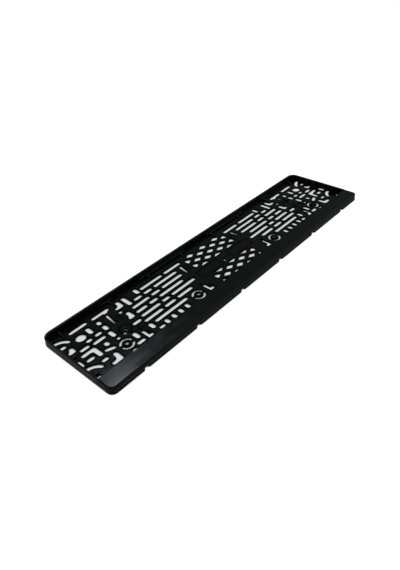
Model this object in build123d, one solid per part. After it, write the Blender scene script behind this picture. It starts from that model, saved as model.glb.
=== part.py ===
import os
from math import cos, degrees, pi, radians, sin, tan

from build123d import *

# Number plate holder, one moulding that lies on its back, in millimetres.
# X runs along the plate, Y up the plate and Z out of the face.
# The origin is the middle of the back, on the surface that the holder is screwed to.

# Tray
length = 530.0
width = 127.0
height = 10.2
corner_radius = 7.5
top_corner_radius = 12.0
wall = 2.2
panel = 1.6
rim_chamfer = 0.4

# Strip along the bottom, which covers the lower edge of the plate
strip_width = 23.2
strip_thick = 2.0
strip_round = 1.8
strip_lip_round = 0.7

# Long shallow groove under the strip's outer edge, and the drain notches below it
groove_low = 4.6
groove_high = 7.8
groove_depth = 0.5
notch_count = 6
notch_pitch = 86.0
notch_width = 7.5
notch_height = 4.0
notch_slope = 1.0

# Windows in the panel behind the strip, through which the mould forms the pocket
window_count = 6
window_pitch = 86.0
window_web = 8.0
window_width = 15.0

# Ledges at the foot of the top wall, hollow from behind, and the ramps that guide the plate down.
# Each ramp has its place and its reach in front of the ledges.
ledge_reach = 5.0
ledge_rise = 3.0
ledge_skin = 1.4
ledge_spans = [(25.0, 113.0), (164.0, 182.0)]
ramp_thick = 1.4
ramps = [(33.5, 6.8), (98.5, 6.8), (169.0, 10.0), (244.0, 9.4)]

# Widths of the openings, how finely their ends are rounded and how far upright and small ones are
slot_width = 5.7
upright_width = 6.6
corner_facets = 2
small_roundness = 0.55

# Places from here on give one half of the panel; the other half mirrors it.
# They spread until the outermost slot leaves this web to the end wall, and the top one this to the ledges.
end_web = 0.7
top_web = 5.05

# Rows of long slots, from the top: the row's outer end, then each slot's length
slat_top = 43.9
slat_pitch = 10.1
slat_web = 3.0
slat_rows = [
    (125.9, [41.4, 33.0]),
    (145.7, [14.2, 15.1, 44.4]),
    (157.7, [30.4, 16.2, 39.2]),
    (159.7, [19.0, 15.5, 44.8]),
    (160.7, [33.4, 14.0, 45.4]),
    (164.7, [32.2, 20.0, 28.6]),
    (156.6, [58.2]),
]

# Row of short upright slots between the two screw rings
comb_first = 110.3
comb_pitch = 12.0
comb_count = 4
comb_y = -27.5
comb_height = 9.4

# Level slots: middle, length and slope in degrees
level_slots = [
    (239.8, 14.5, 14.6, 0),
    (245.9, -4.2, 12.2, 0),
    (235.7, -17.4, 10.4, 0),
    (221.2, -9.0, 14.6, 21),
    (220.1, 12.1, 19.4, 0),
    (228.2, 21.2, 9.6, 0),
    (214.1, 21.4, 11.0, 0),
    (224.0, 48.4, 28.0, 0),
    (190.3, 47.4, 28.2, 0),
    (170.7, 0.4, 14.6, 0),
    (190.3, -28.2, 13.4, 0),
    (204.1, -33.1, 8.6, 0),
]

# Upright slots: middle and height
upright_slots = [
    (258.8, -1.4, 12.6),
    (217.7, 34.3, 13.2),
    (201.6, 23.3, 10.6),
    (203.7, 8.6, 12.8),
    (152.6, 40.2, 19.8),
    (187.3, -16.1, 12.6),
    (163.8, -18.7, 11.5),
    (131.1, 45.2, 12.0),
]

# Small rounded openings: middle, length and height
small_openings = [
    (255.2, 35.1, 8.0, 5.8),
    (218.5, 0.7, 6.7, 8.2),
    (201.6, 35.7, 6.7, 8.0),
    (203.6, -3.2, 5.7, 5.2),
    (171.6, 29.9, 5.7, 5.2),
    (184.6, 45.8, 7.6, 6.2),
    (256.6, -33.0, 6.6, 5.2),
    (156.8, -29.5, 9.6, 5.2),
]

# Bent slots: outer corner, reach of the foot along X and of the leg along Y, width of each
bent_slots = [
    (247.6, 18.3, 10.8, 10.4, 5.4, 6.4),
    (230.4, 9.0, 21.4, -19.0, 5.9, 6.6),
    (219.3, -32.4, 16.4, 16.0, 5.9, 6.6),
    (159.3, 35.8, 13.8, 14.2, 5.4, 6.4),
    (163.5, 9.9, 10.2, 14.7, 5.2, 6.6),
]

# Boot-shaped openings with a low lip above the toe: outer corners, then the sizes that both share
boot_places = [(180.4, -31.6), (68.9, -31.0)]
boot_foot_length = 9.0
boot_foot_width = 4.9
boot_leg_width = 4.5
boot_leg_height = 15.2
boot_slit_width = 1.5
boot_slit_height = 21.0
boot_corner = 0.7
lip_width = 3.4
lip_length = 4.8
lip_rise = 0.7

# Tapered slots: upper end and its half width, lower end and its half width
tapered_slots = [
    (186.8, 40.1, 2.2, 189.4, 19.6, 1.0),
    (55.8, 37.8, 2.4, 58.8, 19.4, 1.2),
]

# Corner slots that curve round towards the end walls, and the oval between them
corner_slots = [(260.0, 29.8), (260.0, -31.2)]
corner_slot_radius = 17.5
corner_slot_start = 94.0
corner_slot_span = 55.0
corner_slot_facets = 4
corner_slot_end_facets = 4
oval_place = (231.9, 32.1)
oval_length = 14.2
oval_height = 12.4
oval_facets = 16

# Lattice of diamonds in the middle, above and below a plain band: first row, low and high limit.
# Its rows hold these counts of diamonds in turn.
diamond_length = 16.4
diamond_height = 9.3
diamond_tip = 1.2
diamond_pitch_x = 13.65
diamond_pitch_y = 7.4
lattice_half = 43.3
lattice_counts = (3, 4)
upper_lattice = (44.3, 13.4, 50.0)
upper_row_count = 5
lower_lattice = (-10.4, -32.0, -9.2)
lower_row_count = 4

# Plain sunk fields in that band, and the one small hole between them
field_span = (11.0, 54.0)
field_rise = (-7.0, 9.5)
field_depth = 0.5
vent = (-5.0, -2.2, 4.4, 4.4)

# Screw rings: a hub with a bore, inside two half-round slots with two spokes left between them
ring_places = [(203.6, -18.0), (85.3, -24.0)]
ring_radius = 8.0
ring_slot = 3.4
ring_facets = 7
ring_spoke = 2.4
ring_turn = 7.0
ring_bore = 5.6
hub_radius = 4.7
hub_facets = 10
hub_rise = 1.0

# Low domes with a bore, and an opening in the edge of each
dome_place = (188.5, 1.2)
dome_radius = 9.4
dome_crown_radius = 4.0
dome_rise = 1.2
dome_bore = 4.4
dome_gap_offset = (4.9, -4.2)
dome_gap_size = 4.6

# Ribbed pads: middle, rib length and pitch
pads = [(181.0, 24.5, 10.0, 3.4), (171.6, -8.0, 11.0, 2.5), (50.0, 27.5, 8.0, 3.4)]
pad_rib_count = 4
pad_rib = 1.3
pad_rise = 0.6

# Low stops near the ends
stop_places = [(256.8, 12.4), (256.4, -26.0)]
stop_length = 4.2
stop_width = 4.6
stop_rise = 2.2

# Worked out from the sizes above
top = width / 2
strip_edge = strip_width - top
wall_top = top - wall
ledge_front = wall_top - ledge_reach
ledge_top = panel + ledge_rise
spread_x = (length / 2 - wall - end_web - upright_width / 2) / max(x for x, _, _ in upright_slots)
spread_y = (ledge_front - top_web - slot_width / 2) / max(y for _, y, _, _ in level_slots)
past = 1.0
same_point = 0.001
standing = (Align.CENTER, Align.CENTER, Align.MIN)


def at(x, y):
    return Pos(x * spread_x, y * spread_y)


# Points round a stretch of a circle or an oval, in equal turns
def arc_points(start, end, facets, radius_x, radius_y, x=0.0, y=0.0):
    turns = [start + (end - start) * step / facets for step in range(facets + 1)]
    return [(x + radius_x * cos(turn), y + radius_y * sin(turn)) for turn in turns]


# One corner of an outline, rounded with flat facets
def rounded_corner(before, corner, after, radius, facets):
    corner = Vector(corner)
    back = (Vector(before) - corner).normalized()
    ahead = (Vector(after) - corner).normalized()
    half = radians(back.get_angle(ahead)) / 2
    centre = corner + (back + ahead).normalized() * (radius / sin(half))
    start = corner + back * (radius / tan(half)) - centre
    end = corner + ahead * (radius / tan(half)) - centre
    spokes = [start + (end - start) * (step / facets) for step in range(facets + 1)]
    return [centre + spoke.normalized() * radius for spoke in spokes]


# An outline with rounded corners; where two of them meet, the point they share is kept once
def outline(corners, radius, facets=corner_facets):
    points = []
    for number, corner in enumerate(corners):
        before, after = corners[number - 1], corners[(number + 1) % len(corners)]
        points += rounded_corner(before, corner, after, radius, facets)
    kept = [point for number, point in enumerate(points) if (point - points[number - 1]).length > same_point]
    return Polygon(*kept, align=None)


def rounded_box(across, tall, radius, facets=corner_facets):
    x, y = across / 2, tall / 2
    return outline([(x, -y), (x, y), (-x, y), (-x, -y)], radius, facets)


# A slot along X or Y, whichever is longer, with half-round ends
def slot(across, tall):
    return rounded_box(across, tall, min(across, tall) / 2)


def level_slot(x, y, span, slope=0):
    return at(x, y) * Rot(0, 0, slope) * slot(span * spread_x, slot_width)


def small_opening(x, y, across, tall):
    return at(x, y) * rounded_box(across, tall, min(across, tall) / 2 * small_roundness, 1)


def upright_slot(x, y, tall):
    return small_opening(x, y, upright_width, tall * spread_y)


# An L whose outer corner is at x, y; its foot and leg run towards the signs of along and up
def bent_slot(x, y, along, up, foot, leg):
    foot_end, leg_end = along * spread_x, up * spread_y
    inner_x = leg if along > 0 else -leg
    inner_y = foot if up > 0 else -foot
    corners = [(0, 0), (foot_end, 0), (foot_end, inner_y)]
    corners += [(inner_x, inner_y), (inner_x, leg_end), (0, leg_end)]
    return at(x, y) * outline(corners, min(foot, leg) / 2)


# A boot with its heel at x, y; a slit runs on from its leg
def boot(x, y):
    toe, leg, slit = -boot_foot_length, -boot_leg_width, -boot_slit_width
    corners = [(0, 0), (toe, 0), (toe, boot_foot_width), (leg, boot_foot_width), (leg, boot_leg_height)]
    corners += [(slit, boot_leg_height), (slit, boot_slit_height), (0, boot_slit_height)]
    return at(x, y) * outline(corners, boot_corner, 1)


# The low lip on the panel between a boot's leg and its toe
def lip(x, y):
    middle = -(boot_foot_length + boot_leg_width) / 2
    block = Box(lip_width, lip_length, panel + lip_rise, align=(Align.CENTER, Align.MIN, Align.MIN))
    return at(x, y) * Pos(middle, boot_foot_width) * block


def tapered_slot(x, y, wide, end_x, end_y, narrow):
    run_x, run_y = (end_x - x) * spread_x, (end_y - y) * spread_y
    corners = [(wide, 0), (-wide, 0), (run_x - narrow, run_y), (run_x + narrow, run_y)]
    return at(x, y) * outline(corners, narrow * small_roundness, 1)


# A slot along an arc; with one facet to an end, that end is straight
def arc_slot(radius, across, start, span, facets, end_facets):
    first, last, half = radians(start), radians(start + span), across / 2
    outer = arc_points(first, last, facets, radius + half, radius + half)
    inner = arc_points(last, first, facets, radius - half, radius - half)
    tips = []
    for turn, begin in ((last, last), (first, first + pi)):
        x, y = radius * cos(turn), radius * sin(turn)
        tips.append(arc_points(begin, begin + pi, end_facets, half, half, x, y)[1:-1])
    return Polygon(*outer, *tips[0], *inner, *tips[1], align=None)


def corner_slot(x, y):
    bend = corner_slot_radius, slot_width, corner_slot_start, corner_slot_span
    return at(x, y) * arc_slot(*bend, corner_slot_facets, corner_slot_end_facets)


def ring_slots(x, y):
    radius = ring_radius * min(spread_x, spread_y)
    spoke = degrees(ring_spoke / radius)
    half = arc_slot(radius, ring_slot, spoke / 2, 180 - spoke, ring_facets, 1)
    return [at(x, y) * Rot(0, 0, turn) * half for turn in (ring_turn, ring_turn + 180)]


def oval():
    points = arc_points(0, 2 * pi, oval_facets, oval_length / 2, oval_height / 2)
    return at(*oval_place) * Polygon(*points[:-1], align=None)


def slat_field():
    slots = []
    for row, (end, spans) in enumerate(slat_rows):
        for span in spans:
            slots.append(level_slot(end - span / 2, slat_top - row * slat_pitch, span))
            end -= span + slat_web
    return slots


def comb():
    places = [comb_first + number * comb_pitch for number in range(comb_count)]
    return [upright_slot(x, comb_y, comb_height) for x in places]


# A diamond whose two sharp ends are cut off square
def diamond():
    half_x, half_y, tip_y = diamond_length / 2, diamond_height / 2, diamond_tip / 2
    tip_x = half_x * (1 - tip_y / half_y)
    corners = [(tip_x, -tip_y), (tip_x, tip_y), (0, half_y), (-tip_x, tip_y), (-tip_x, -tip_y), (0, -half_y)]
    return Polygon(*corners, align=None)


# Staggered rows of diamonds, cut off straight at the edges of their field
def lattice(row_count, first_y, low, high):
    span, tall = 2 * lattice_half * spread_x, (high - low) * spread_y
    field = at(0, low) * Rectangle(span, tall, align=(Align.CENTER, Align.MIN))
    kept = []
    for row in range(row_count):
        places = GridLocations(2 * diamond_pitch_x * spread_x, 0, lattice_counts[row % 2], 1)
        level = at(0, first_y - row * diamond_pitch_y)
        kept += [(level * place * diamond()) & field for place in places]
    return kept


def windows():
    middle = (strip_edge + wall - top) / 2
    pane = Rectangle((window_pitch - window_web) * spread_x, window_width)
    places = GridLocations(window_pitch * spread_x, 0, window_count, 1)
    return [Pos(0, middle) * place * pane for place in places]


def both_sides(shapes):
    return shapes + [mirror(shape, about=Plane.YZ) for shape in shapes]


def openings():
    half = slat_field() + comb() + [oval()]
    half += [level_slot(*row) for row in level_slots]
    half += [upright_slot(*row) for row in upright_slots]
    half += [small_opening(*row) for row in small_openings]
    half += [bent_slot(*row) for row in bent_slots]
    half += [boot(*place) for place in boot_places]
    half += [tapered_slot(*row) for row in tapered_slots]
    half += [corner_slot(*place) for place in corner_slots]
    half += [piece for place in ring_places for piece in ring_slots(*place)]
    lattices = lattice(upper_row_count, *upper_lattice) + lattice(lower_row_count, *lower_lattice)
    return both_sides(half) + lattices + windows() + [small_opening(*vent)]


def through(face, reach):
    return Pos(0, 0, -past) * extrude(face, reach + 2 * past, dir=(0, 0, 1))


def below_strip_edge(face):
    return face & Pos(0, strip_edge) * Rectangle(length, width, align=(Align.CENTER, Align.MAX))


def above_strip_edge(face):
    return face & Pos(0, strip_edge) * Rectangle(length, width, align=(Align.CENTER, Align.MIN))


# The plan of the holder or of the room inside it, with wider corners at the top than beside the strip
def plan(inset=0.0):
    along, across = length - 2 * inset, width - 2 * inset
    lower = RectangleRounded(along, across, corner_radius - inset)
    upper = RectangleRounded(along, across, top_corner_radius - inset)
    return below_strip_edge(lower) + above_strip_edge(upper)


# Upper edges of a block, either the one at the strip's edge or all the others
def upper_edges(block, along_strip):
    edges = block.edges().group_by(Axis.Z)[-1]
    return [edge for edge in edges if (abs(edge.center().Y - strip_edge) < same_point) == along_strip]


def strip_block():
    block = extrude(below_strip_edge(plan()), height)
    block = fillet(upper_edges(block, False), strip_round)
    return fillet(upper_edges(block, True), strip_lip_round)


def tray_block():
    block = extrude(above_strip_edge(plan()), height)
    return chamfer(upper_edges(block, False), rim_chamfer)


def hollows():
    room = plan(wall)
    pocket = Pos(0, 0, panel) * extrude(room, height - strip_thick - panel)
    mouth = Pos(0, 0, panel) * extrude(above_strip_edge(room), height)
    return [pocket, mouth]


def groove():
    band = below_strip_edge(plan()) - plan(groove_depth)
    return Pos(0, 0, groove_low) * extrude(band, groove_high - groove_low)


def notches():
    foot, head = notch_width / 2, notch_width / 2 - notch_slope
    side = Polygon((-foot, -past), (foot, -past), (head, notch_height), (-head, notch_height), align=None)
    cutter = extrude(Plane.XZ * side, wall + past, both=True)
    places = GridLocations(notch_pitch * spread_x, 0, notch_count, 1)
    return [Pos(0, -top) * place * cutter for place in places]


# A ledge and the hollow behind it
def ledge(start, end):
    span = (end - start) * spread_x
    place = Pos((start + end) / 2 * spread_x, wall_top)
    against_wall = (Align.CENTER, Align.MAX, Align.MIN)
    bar = Box(span, ledge_reach, ledge_top, align=against_wall)
    inside = Box(span - 2 * ledge_skin, ledge_reach - ledge_skin, ledge_top - ledge_skin, align=against_wall)
    return place * bar, place * inside


def ramp(x, reach):
    foot = ledge_front - reach
    corners = [(foot, 0), (wall_top, 0), (wall_top, ledge_top), (ledge_front, ledge_top), (foot, panel)]
    side = Polygon(*corners, align=None)
    return Pos(x * spread_x) * extrude(Plane.YZ * side, ramp_thick / 2, both=True)


def dome():
    mound = Cone(dome_radius, dome_crown_radius, dome_rise, align=standing)
    return at(*dome_place) * Pos(0, 0, panel) * mound


def dome_gap():
    face = small_opening(*dome_place, dome_gap_size, dome_gap_size)
    return Pos(*dome_gap_offset) * through(face, panel + dome_rise)


def hub(x, y):
    return at(x, y) * extrude(RegularPolygon(hub_radius, hub_facets), panel + hub_rise)


def bore(place, across, reach):
    return at(*place) * Cylinder(across / 2, reach, align=standing)


def pad(x, y, span, pitch):
    rib = Box(span, pad_rib, panel + pad_rise, align=standing)
    return [at(x, y) * place * rib for place in GridLocations(0, pitch, 1, pad_rib_count)]


def stop(x, y):
    return at(x, y) * Box(stop_length, stop_width, panel + stop_rise, align=standing)


def sunk_field():
    (start, end), (low, high) = field_span, field_rise
    recess = Box((end - start) * spread_x, (high - low) * spread_y, past, align=standing)
    return at((start + end) / 2, (low + high) / 2) * Pos(0, 0, panel - field_depth) * recess


def holder():
    body = strip_block() + tray_block()
    body = body - hollows() - groove() - notches() - both_sides([sunk_field()])
    body = body - [through(face, panel) for face in openings()]

    ledges = [ledge(*span) for span in ledge_spans]
    raised = [bar for bar, _ in ledges] + [ramp(*row) for row in ramps]
    raised += [dome()] + [rib for row in pads for rib in pad(*row)]
    raised += [lip(*place) for place in boot_places] + [stop(*place) for place in stop_places]
    raised += [hub(*place) for place in ring_places]
    body = body + both_sides(raised)

    cuts = [inside for _, inside in ledges] + [bore(dome_place, dome_bore, panel + dome_rise), dome_gap()]
    cuts += [bore(place, ring_bore, panel + hub_rise) for place in ring_places]
    return body - both_sides(cuts)


os.makedirs("parts", exist_ok=True)
part = holder()
print("solids", len(part.solids()), "volume", round(part.volume))
export_step(part, "parts/plate_holder.step")
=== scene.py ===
from math import radians

import bpy
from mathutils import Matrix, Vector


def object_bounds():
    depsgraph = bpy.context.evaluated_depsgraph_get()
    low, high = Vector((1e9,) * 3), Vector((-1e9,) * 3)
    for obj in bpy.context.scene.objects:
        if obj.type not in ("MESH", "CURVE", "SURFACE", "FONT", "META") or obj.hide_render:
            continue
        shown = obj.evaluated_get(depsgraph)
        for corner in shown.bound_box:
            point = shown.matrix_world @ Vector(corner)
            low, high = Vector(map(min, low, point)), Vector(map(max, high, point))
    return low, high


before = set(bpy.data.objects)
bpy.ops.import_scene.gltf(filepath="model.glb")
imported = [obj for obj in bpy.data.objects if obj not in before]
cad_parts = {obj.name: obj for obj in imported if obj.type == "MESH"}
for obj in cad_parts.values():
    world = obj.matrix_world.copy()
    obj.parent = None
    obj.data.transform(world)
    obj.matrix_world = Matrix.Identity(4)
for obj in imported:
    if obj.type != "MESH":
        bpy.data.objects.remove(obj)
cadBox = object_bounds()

print("frame loaded:", ", ".join(sorted(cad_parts)))


# One socket of a shader tree. Sums on it add Math nodes, and node() adds any other node.
class Socket:
    def __init__(self, tree, link=None):
        self.tree = tree
        self.link = link

    def node(self, kind, settings=None, inputs=None, output=0):
        made = self.tree.nodes.new("ShaderNode" + kind)
        for name, value in (settings or {}).items():
            setattr(made, name, value)
        for name, value in (inputs or {}).items():
            if isinstance(value, Socket):
                self.tree.links.new(value.link, made.inputs[name])
            else:
                made.inputs[name].default_value = value
        return Socket(self.tree, made.outputs[output] if made.outputs else None)

    def math(self, operation, first, second=0.0):
        return self.node("Math", {"operation": operation}, {0: first, 1: second})

    def __add__(self, other):
        return self.math("ADD", self, other)

    def __radd__(self, other):
        return self.math("ADD", other, self)

    def __sub__(self, other):
        return self.math("SUBTRACT", self, other)

    def __rsub__(self, other):
        return self.math("SUBTRACT", other, self)

    def __mul__(self, other):
        return self.math("MULTIPLY", self, other)

    def __rmul__(self, other):
        return self.math("MULTIPLY", other, self)

    def rise(self, low, high):  # 0 below low, 1 above high, smooth between
        settings = {"interpolation_type": "SMOOTHSTEP"}
        return self.node("MapRange", settings, {"Value": self, "From Min": low, "From Max": high})

    def band(self, low, full, fade, high):  # 1 from full to fade, 0 below low and above high
        return self.rise(low, full) * (1 - self.rise(fade, high))

    def swing(self):  # how far a noise is off its mean
        return self - 0.5

    def axes(self):  # the three parts of a vector
        return [self.node("SeparateXYZ", inputs={0: self}, output=axis) for axis in "XYZ"]

    def blend(self, first, second):  # a colour from first to second as this goes from 0 to 1
        return self.node("Mix", {"data_type": "RGBA"}, {0: self, 6: first, 7: second}, output=2)


def newMaterial(name):
    material = bpy.data.materials.new(name)
    material.use_nodes = True
    material.node_tree.nodes.clear()
    return material, Socket(material.node_tree)


# Black moulded plastic: grained in the panel, smoother and faintly streaked on the strip, with a painted
# highlight on its rim tops, upper edges and groove lip, and painted shade along the edges of the openings and
# at the foot of what rises from the panel. Lengths are in metres. A pair is where a change starts and ends,
# and four numbers are a band that fades in and out.
blackPlastic = {
    "black": (0.0026, 0.0028, 0.0025, 1),
    "faded": (0.0042, 0.0045, 0.0040, 1),
    "fadedFlow": (0.35, 0.70),
    "ior": 1.5,
    "panelRoughness": 0.13,
    "stripRoughness": 0.19,
    "stripEdge": (-0.0405, -0.0401),
    "stripTop": (0.0076, 0.0080),
    "stripSmooth": 0.7,  # share of the grain that the strip lacks
    "grain": {"Scale": 2400.0, "Detail": 3.0},
    "grainDepth": 0.00004,
    "grainStrength": 0.6,
    "grainGloss": 0.04,
    "flow": {"Scale": 55.0, "Detail": 4.0},
    "flowGloss": 0.10,
    "stripFlowGloss": 0.06,
    "streak": {"Scale": 150.0, "Detail": 2.0},
    "streakStretch": (0.15, 1.0, 1.0),
    "streakGloss": 0.22,
    "bevelSamples": 6,
    "paintedHighlight": (0.130, 0.131, 0.127, 1),
    "paintedHighlightLeast": 0.5,
    "edgeRound": 0.0008,
    "edgeTurn": (0.004, 0.12),
    "edgeFoot": (0.0028, 0.0032),
    "cornerAtWall": (0.0590, 0.0600),  # the painted edge highlights stop here, short of the top wall
    "rimFoot": (0.0080, 0.0090),
    "rimEnd": (-0.2622, -0.2618),  # the painted rim highlight stops here, short of the near end wall
    "grooveLip": (0.0036, 0.0040, 0.0046, 0.0050),
    "frontFace": (-0.0631, -0.0629),
    "paintedShade": (0.0004, 0.0004, 0.0004, 1),
    "paintedShadeReach": 0.0030,
    "paintedShadeTurn": (0.001, 0.014),
    "paintedShadeTop": (0.0019, 0.0021),
    "paintedShadeShare": 0.97,
    "paintedShadeBands": [
        (0.00163, 0.00170, 0.00205, 0.00215),  # painted shade at the foot of what rises from the panel
        (0.00224, 0.00228, 0.00234, 0.00240),  # painted shade on the tops of the lips beside the boots
    ],
    "paintedShadeBandShare": 0.70,
}


def makeBlackPlastic(look):
    material, tree = newMaterial("blackPlastic")
    place = tree.node("TexCoord", output="Object")
    x, y, z = place.axes()
    strip = (1 - y.rise(*look["stripEdge"])) * z.rise(*look["stripTop"])

    grain = tree.node("TexNoise", inputs={"Vector": place, **look["grain"]})
    flow = tree.node("TexNoise", inputs={"Vector": place, **look["flow"]})
    stretched = tree.node("VectorMath", {"operation": "MULTIPLY"}, {0: place, 1: look["streakStretch"]})
    drawn = tree.node("TexNoise", inputs={"Vector": stretched, **look["streak"]})

    sampling = {"samples": look["bevelSamples"]}
    softNormal = tree.node("Bevel", sampling, {"Radius": look["edgeRound"]})
    wideNormal = tree.node("Bevel", sampling, {"Radius": look["paintedShadeReach"]})
    flatNormal = tree.node("NewGeometry", output="Normal")

    def turned(rounded):  # how far an edge nearby turns the normal, 0 on a flat
        dot = {"operation": "DOT_PRODUCT"}
        return 1 - tree.node("VectorMath", dot, {0: rounded, 1: flatNormal}, output="Value")

    # painted shade: near-black along the edges of the openings, below the panel's top
    paintedShade = turned(wideNormal).rise(*look["paintedShadeTurn"]) * (1 - z.rise(*look["paintedShadeTop"])) * look["paintedShadeShare"]
    # painted shade in height bands: at the foot of raised features and on the lips' tops
    for heights in look["paintedShadeBands"]:
        paintedShade = tree.math("MAXIMUM", paintedShade, z.band(*heights) * look["paintedShadeBandShare"])

    # painted highlight: the rim tops, the upper edges and the groove's lower lip are coloured lighter
    rim = z.rise(*look["rimFoot"]) * x.rise(*look["rimEnd"]) * (1 - strip)
    edge = turned(softNormal).rise(*look["edgeTurn"]) * z.rise(*look["edgeFoot"])
    edge = edge * (1 - y.rise(*look["cornerAtWall"]))
    lip = z.band(*look["grooveLip"]) * (1 - y.rise(*look["frontFace"]))
    paintedHighlight = tree.math("MAXIMUM", tree.math("MAXIMUM", rim, edge), lip)
    colour = flow.rise(*look["fadedFlow"]).blend(look["black"], look["faded"])
    colour = (paintedHighlight * (look["paintedHighlightLeast"] + flow)).blend(colour, look["paintedHighlight"])

    roughness = look["panelRoughness"] + strip * (look["stripRoughness"] - look["panelRoughness"])
    roughness = roughness + flow.swing() * (look["flowGloss"] + look["stripFlowGloss"] * strip)
    roughness = roughness + drawn.swing() * look["streakGloss"] * strip
    roughness = roughness + grain.swing() * look["grainGloss"]

    relief = tree.node("Bump", inputs={
        "Strength": look["grainStrength"],
        "Distance": look["grainDepth"],
        "Height": grain * (1 - look["stripSmooth"] * strip),
        "Normal": softNormal,
    })
    surface = tree.node("BsdfPrincipled", inputs={
        "Base Color": colour,
        "Roughness": roughness,
        "IOR": look["ior"],
        "Normal": relief,
    })
    # the near-black shader that the painted shade mixes in
    paintedShadeShader = tree.node("BsdfDiffuse", inputs={"Color": look["paintedShade"]})
    mixed = tree.node("MixShader", inputs={0: paintedShade, 1: surface, 2: paintedShadeShader})
    tree.node("OutputMaterial", inputs={"Surface": mixed})
    return material


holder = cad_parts["plate_holder"]
holder.data.materials.clear()
holder.data.materials.append(makeBlackPlastic(blackPlastic))
for face in holder.data.polygons:
    face.material_index = 0
print("black plastic on", holder.name)


# Plain pale floor under the holder's back, glowing evenly like a light table, with painted shade under the
# holder and a painted contact shadow where the holder stands close, with a pale wall far off all round. The
# plastic mirrors neither, only the studio.
floorLook = {
    "reach": 8.0,
    "wallHeight": 10.0,
    "gap": 0.0002,
    "colour": (0.86, 0.86, 0.87, 1),
    "glow": (1.0, 1.0, 1.0, 1),
    "glowStrength": 1.0,
    "shade": (0.500, 0.503, 0.484, 1),
    "shadeHalf": (0.2635, 0.0620),
    "shadeBlur": 0.001,
    "paintedContactShadow": (0.030, 0.030, 0.030, 1),
    "contactReach": 0.0025,
    "contactOpen": (0.58, 0.86),
    "contactSamples": 8,
}


def makePaleFloor(look):
    material, tree = newMaterial("paleFloor")
    x, y, _ = tree.node("TexCoord", output="Object").axes()

    def within(value, half):  # 1 inside half the length or width, 0 outside
        return 1 - tree.math("ABSOLUTE", value).rise(half - look["shadeBlur"], half + look["shadeBlur"])

    halfLength, halfWidth = look["shadeHalf"]
    inside = within(x, halfLength) * within(y, halfWidth)
    # painted shade: the glow is dimmer under the holder's outline
    lit = inside.blend(look["glow"], look["shade"])
    sampling = {"samples": look["contactSamples"]}
    # painted contact shadow: the glow goes dark where ambient occlusion finds the holder close
    openness = tree.node("AmbientOcclusion", sampling, {"Distance": look["contactReach"]}, output="AO")
    surface = tree.node("BsdfPrincipled", inputs={
        "Base Color": look["colour"],
        "Roughness": 1.0,
        "Specular IOR Level": 0.0,
        "Emission Color": openness.rise(*look["contactOpen"]).blend(look["paintedContactShadow"], lit),
        "Emission Strength": look["glowStrength"],
    })
    tree.node("OutputMaterial", inputs={"Surface": surface})
    return material


def makeFloor(look):
    reach = look["reach"]
    corners = [(-reach, -reach, 0), (reach, -reach, 0), (reach, reach, 0), (-reach, reach, 0)]
    tops = [(x, y, look["wallHeight"]) for x, y, _ in corners]
    sides = [(i, (i + 1) % 4, (i + 1) % 4 + 4, i + 4) for i in range(4)]
    sheets = {"floor": (corners, [(0, 1, 2, 3)]), "wall": (corners + tops, sides)}
    material = makePaleFloor(look)
    for name, (points, faces) in sheets.items():
        mesh = bpy.data.meshes.new(name)
        mesh.from_pydata(points, [], faces)
        mesh.materials.append(material)
        sheet = bpy.data.objects.new(name, mesh)
        sheet.location.z = cadBox[0].z - look["gap"]
        sheet.visible_glossy = False
        sheet.visible_diffuse = False
        sheet.visible_shadow = name == "floor"  # the studio's light passes the wall
        bpy.context.collection.objects.link(sheet)


makeFloor(floorLook)
print("floor laid")


# Studio: a dark room, dimly lit at middle height and below, with a bright band beyond the far end, a bright
# patch straight overhead and more light from below on the top wall's side
studio = {
    "dark": (0.028, 0.030, 0.029, 1),
    "dim": (0.100, 0.107, 0.102, 1),
    "dimHeights": (0.10, 0.40, 0.80, 0.92),
    "horizon": (-0.10, 0.05),
    "below": (0.150, 0.155, 0.140, 1),
    "belowSide": (0.10, 0.50),
    "band": (0.36, 0.38, 0.38, 1),
    "bandAcross": (-0.80, -0.60, 0.10, 0.28),
    "bandFoot": (0.25, 0.45),
    "bandSide": (0.0, 0.2),
    "overhead": (0.86, 0.90, 1.0, 1),
    "overheadFoot": (0.955, 0.975),
}


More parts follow.
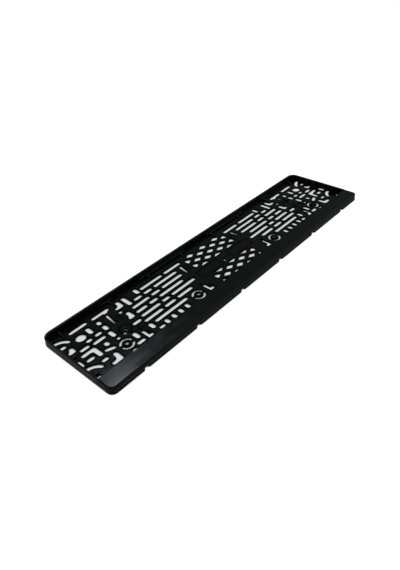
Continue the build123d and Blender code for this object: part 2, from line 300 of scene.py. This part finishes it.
def makeStudio(look):
    world = bpy.data.worlds.new("studio")
    world.use_nodes = True
    world.node_tree.nodes.clear()
    tree = Socket(world.node_tree)
    along, across, up = tree.node("TexCoord", output="Generated").axes()
    under = 1 - up.rise(*look["horizon"])
    dim = up.band(*look["dimHeights"]) + under
    band = across.band(*look["bandAcross"]) * up.rise(*look["bandFoot"]) * along.rise(*look["bandSide"])
    colour = dim.blend(look["dark"], look["dim"])
    colour = (under * across.rise(*look["belowSide"])).blend(colour, look["below"])
    colour = band.blend(colour, look["band"])
    colour = up.rise(*look["overheadFoot"]).blend(colour, look["overhead"])
    light = tree.node("Background", inputs={"Color": colour})
    tree.node("OutputWorld", inputs={"Surface": light})
    bpy.context.scene.world = world
    bpy.context.scene.view_settings.view_transform = "Standard"


# Two softboxes high behind the holder, facing straight down, for the sheen on the near end of the strip
softboxes = {
    "behind": {
        "place": (0.260, 0.695, 1.198),
        "size": (0.14, 0.22),
        "power": 1.50,
        "colour": (0.82, 0.87, 1.0),
    },
    "fill": {
        "place": (0.450, 0.700, 1.198),
        "size": (0.40, 0.24),
        "power": 0.13,
        "colour": (0.82, 0.87, 1.0),
    },
}


def makeSoftbox(name, look):
    data = bpy.data.lights.new(name, "AREA")
    data.shape = "RECTANGLE"
    data.size, data.size_y = look["size"]
    data.energy = look["power"]
    data.color = look["colour"]
    lamp = bpy.data.objects.new(name, data)
    lamp.location = look["place"]
    bpy.context.collection.objects.link(lamp)


makeStudio(studio)
for name, look in softboxes.items():
    makeSoftbox(name, look)
print("studio lit")


# Camera at the photograph's angle. The shift is half a pixel of the 400 by 570 picture.
photoCamera = {
    "place": (-0.43546, -0.36074, 0.39577),
    "turn": (51.886, 2.847, -48.717),
    "lens": 30.675,
    "sensor": 36.0,
    "shift": (-0.5 / 570, 0.5 / 570),
    "clipStart": 0.01,
}


def makeCamera(view):
    data = bpy.data.cameras.new("photoCamera")
    data.lens = view["lens"]
    data.sensor_width = view["sensor"]
    data.shift_x, data.shift_y = view["shift"]
    data.clip_start = view["clipStart"]
    camera = bpy.data.objects.new("photoCamera", data)
    camera.location = view["place"]
    camera.rotation_euler = [radians(angle) for angle in view["turn"]]
    bpy.context.collection.objects.link(camera)
    bpy.context.scene.camera = camera


makeCamera(photoCamera)
print("camera set")
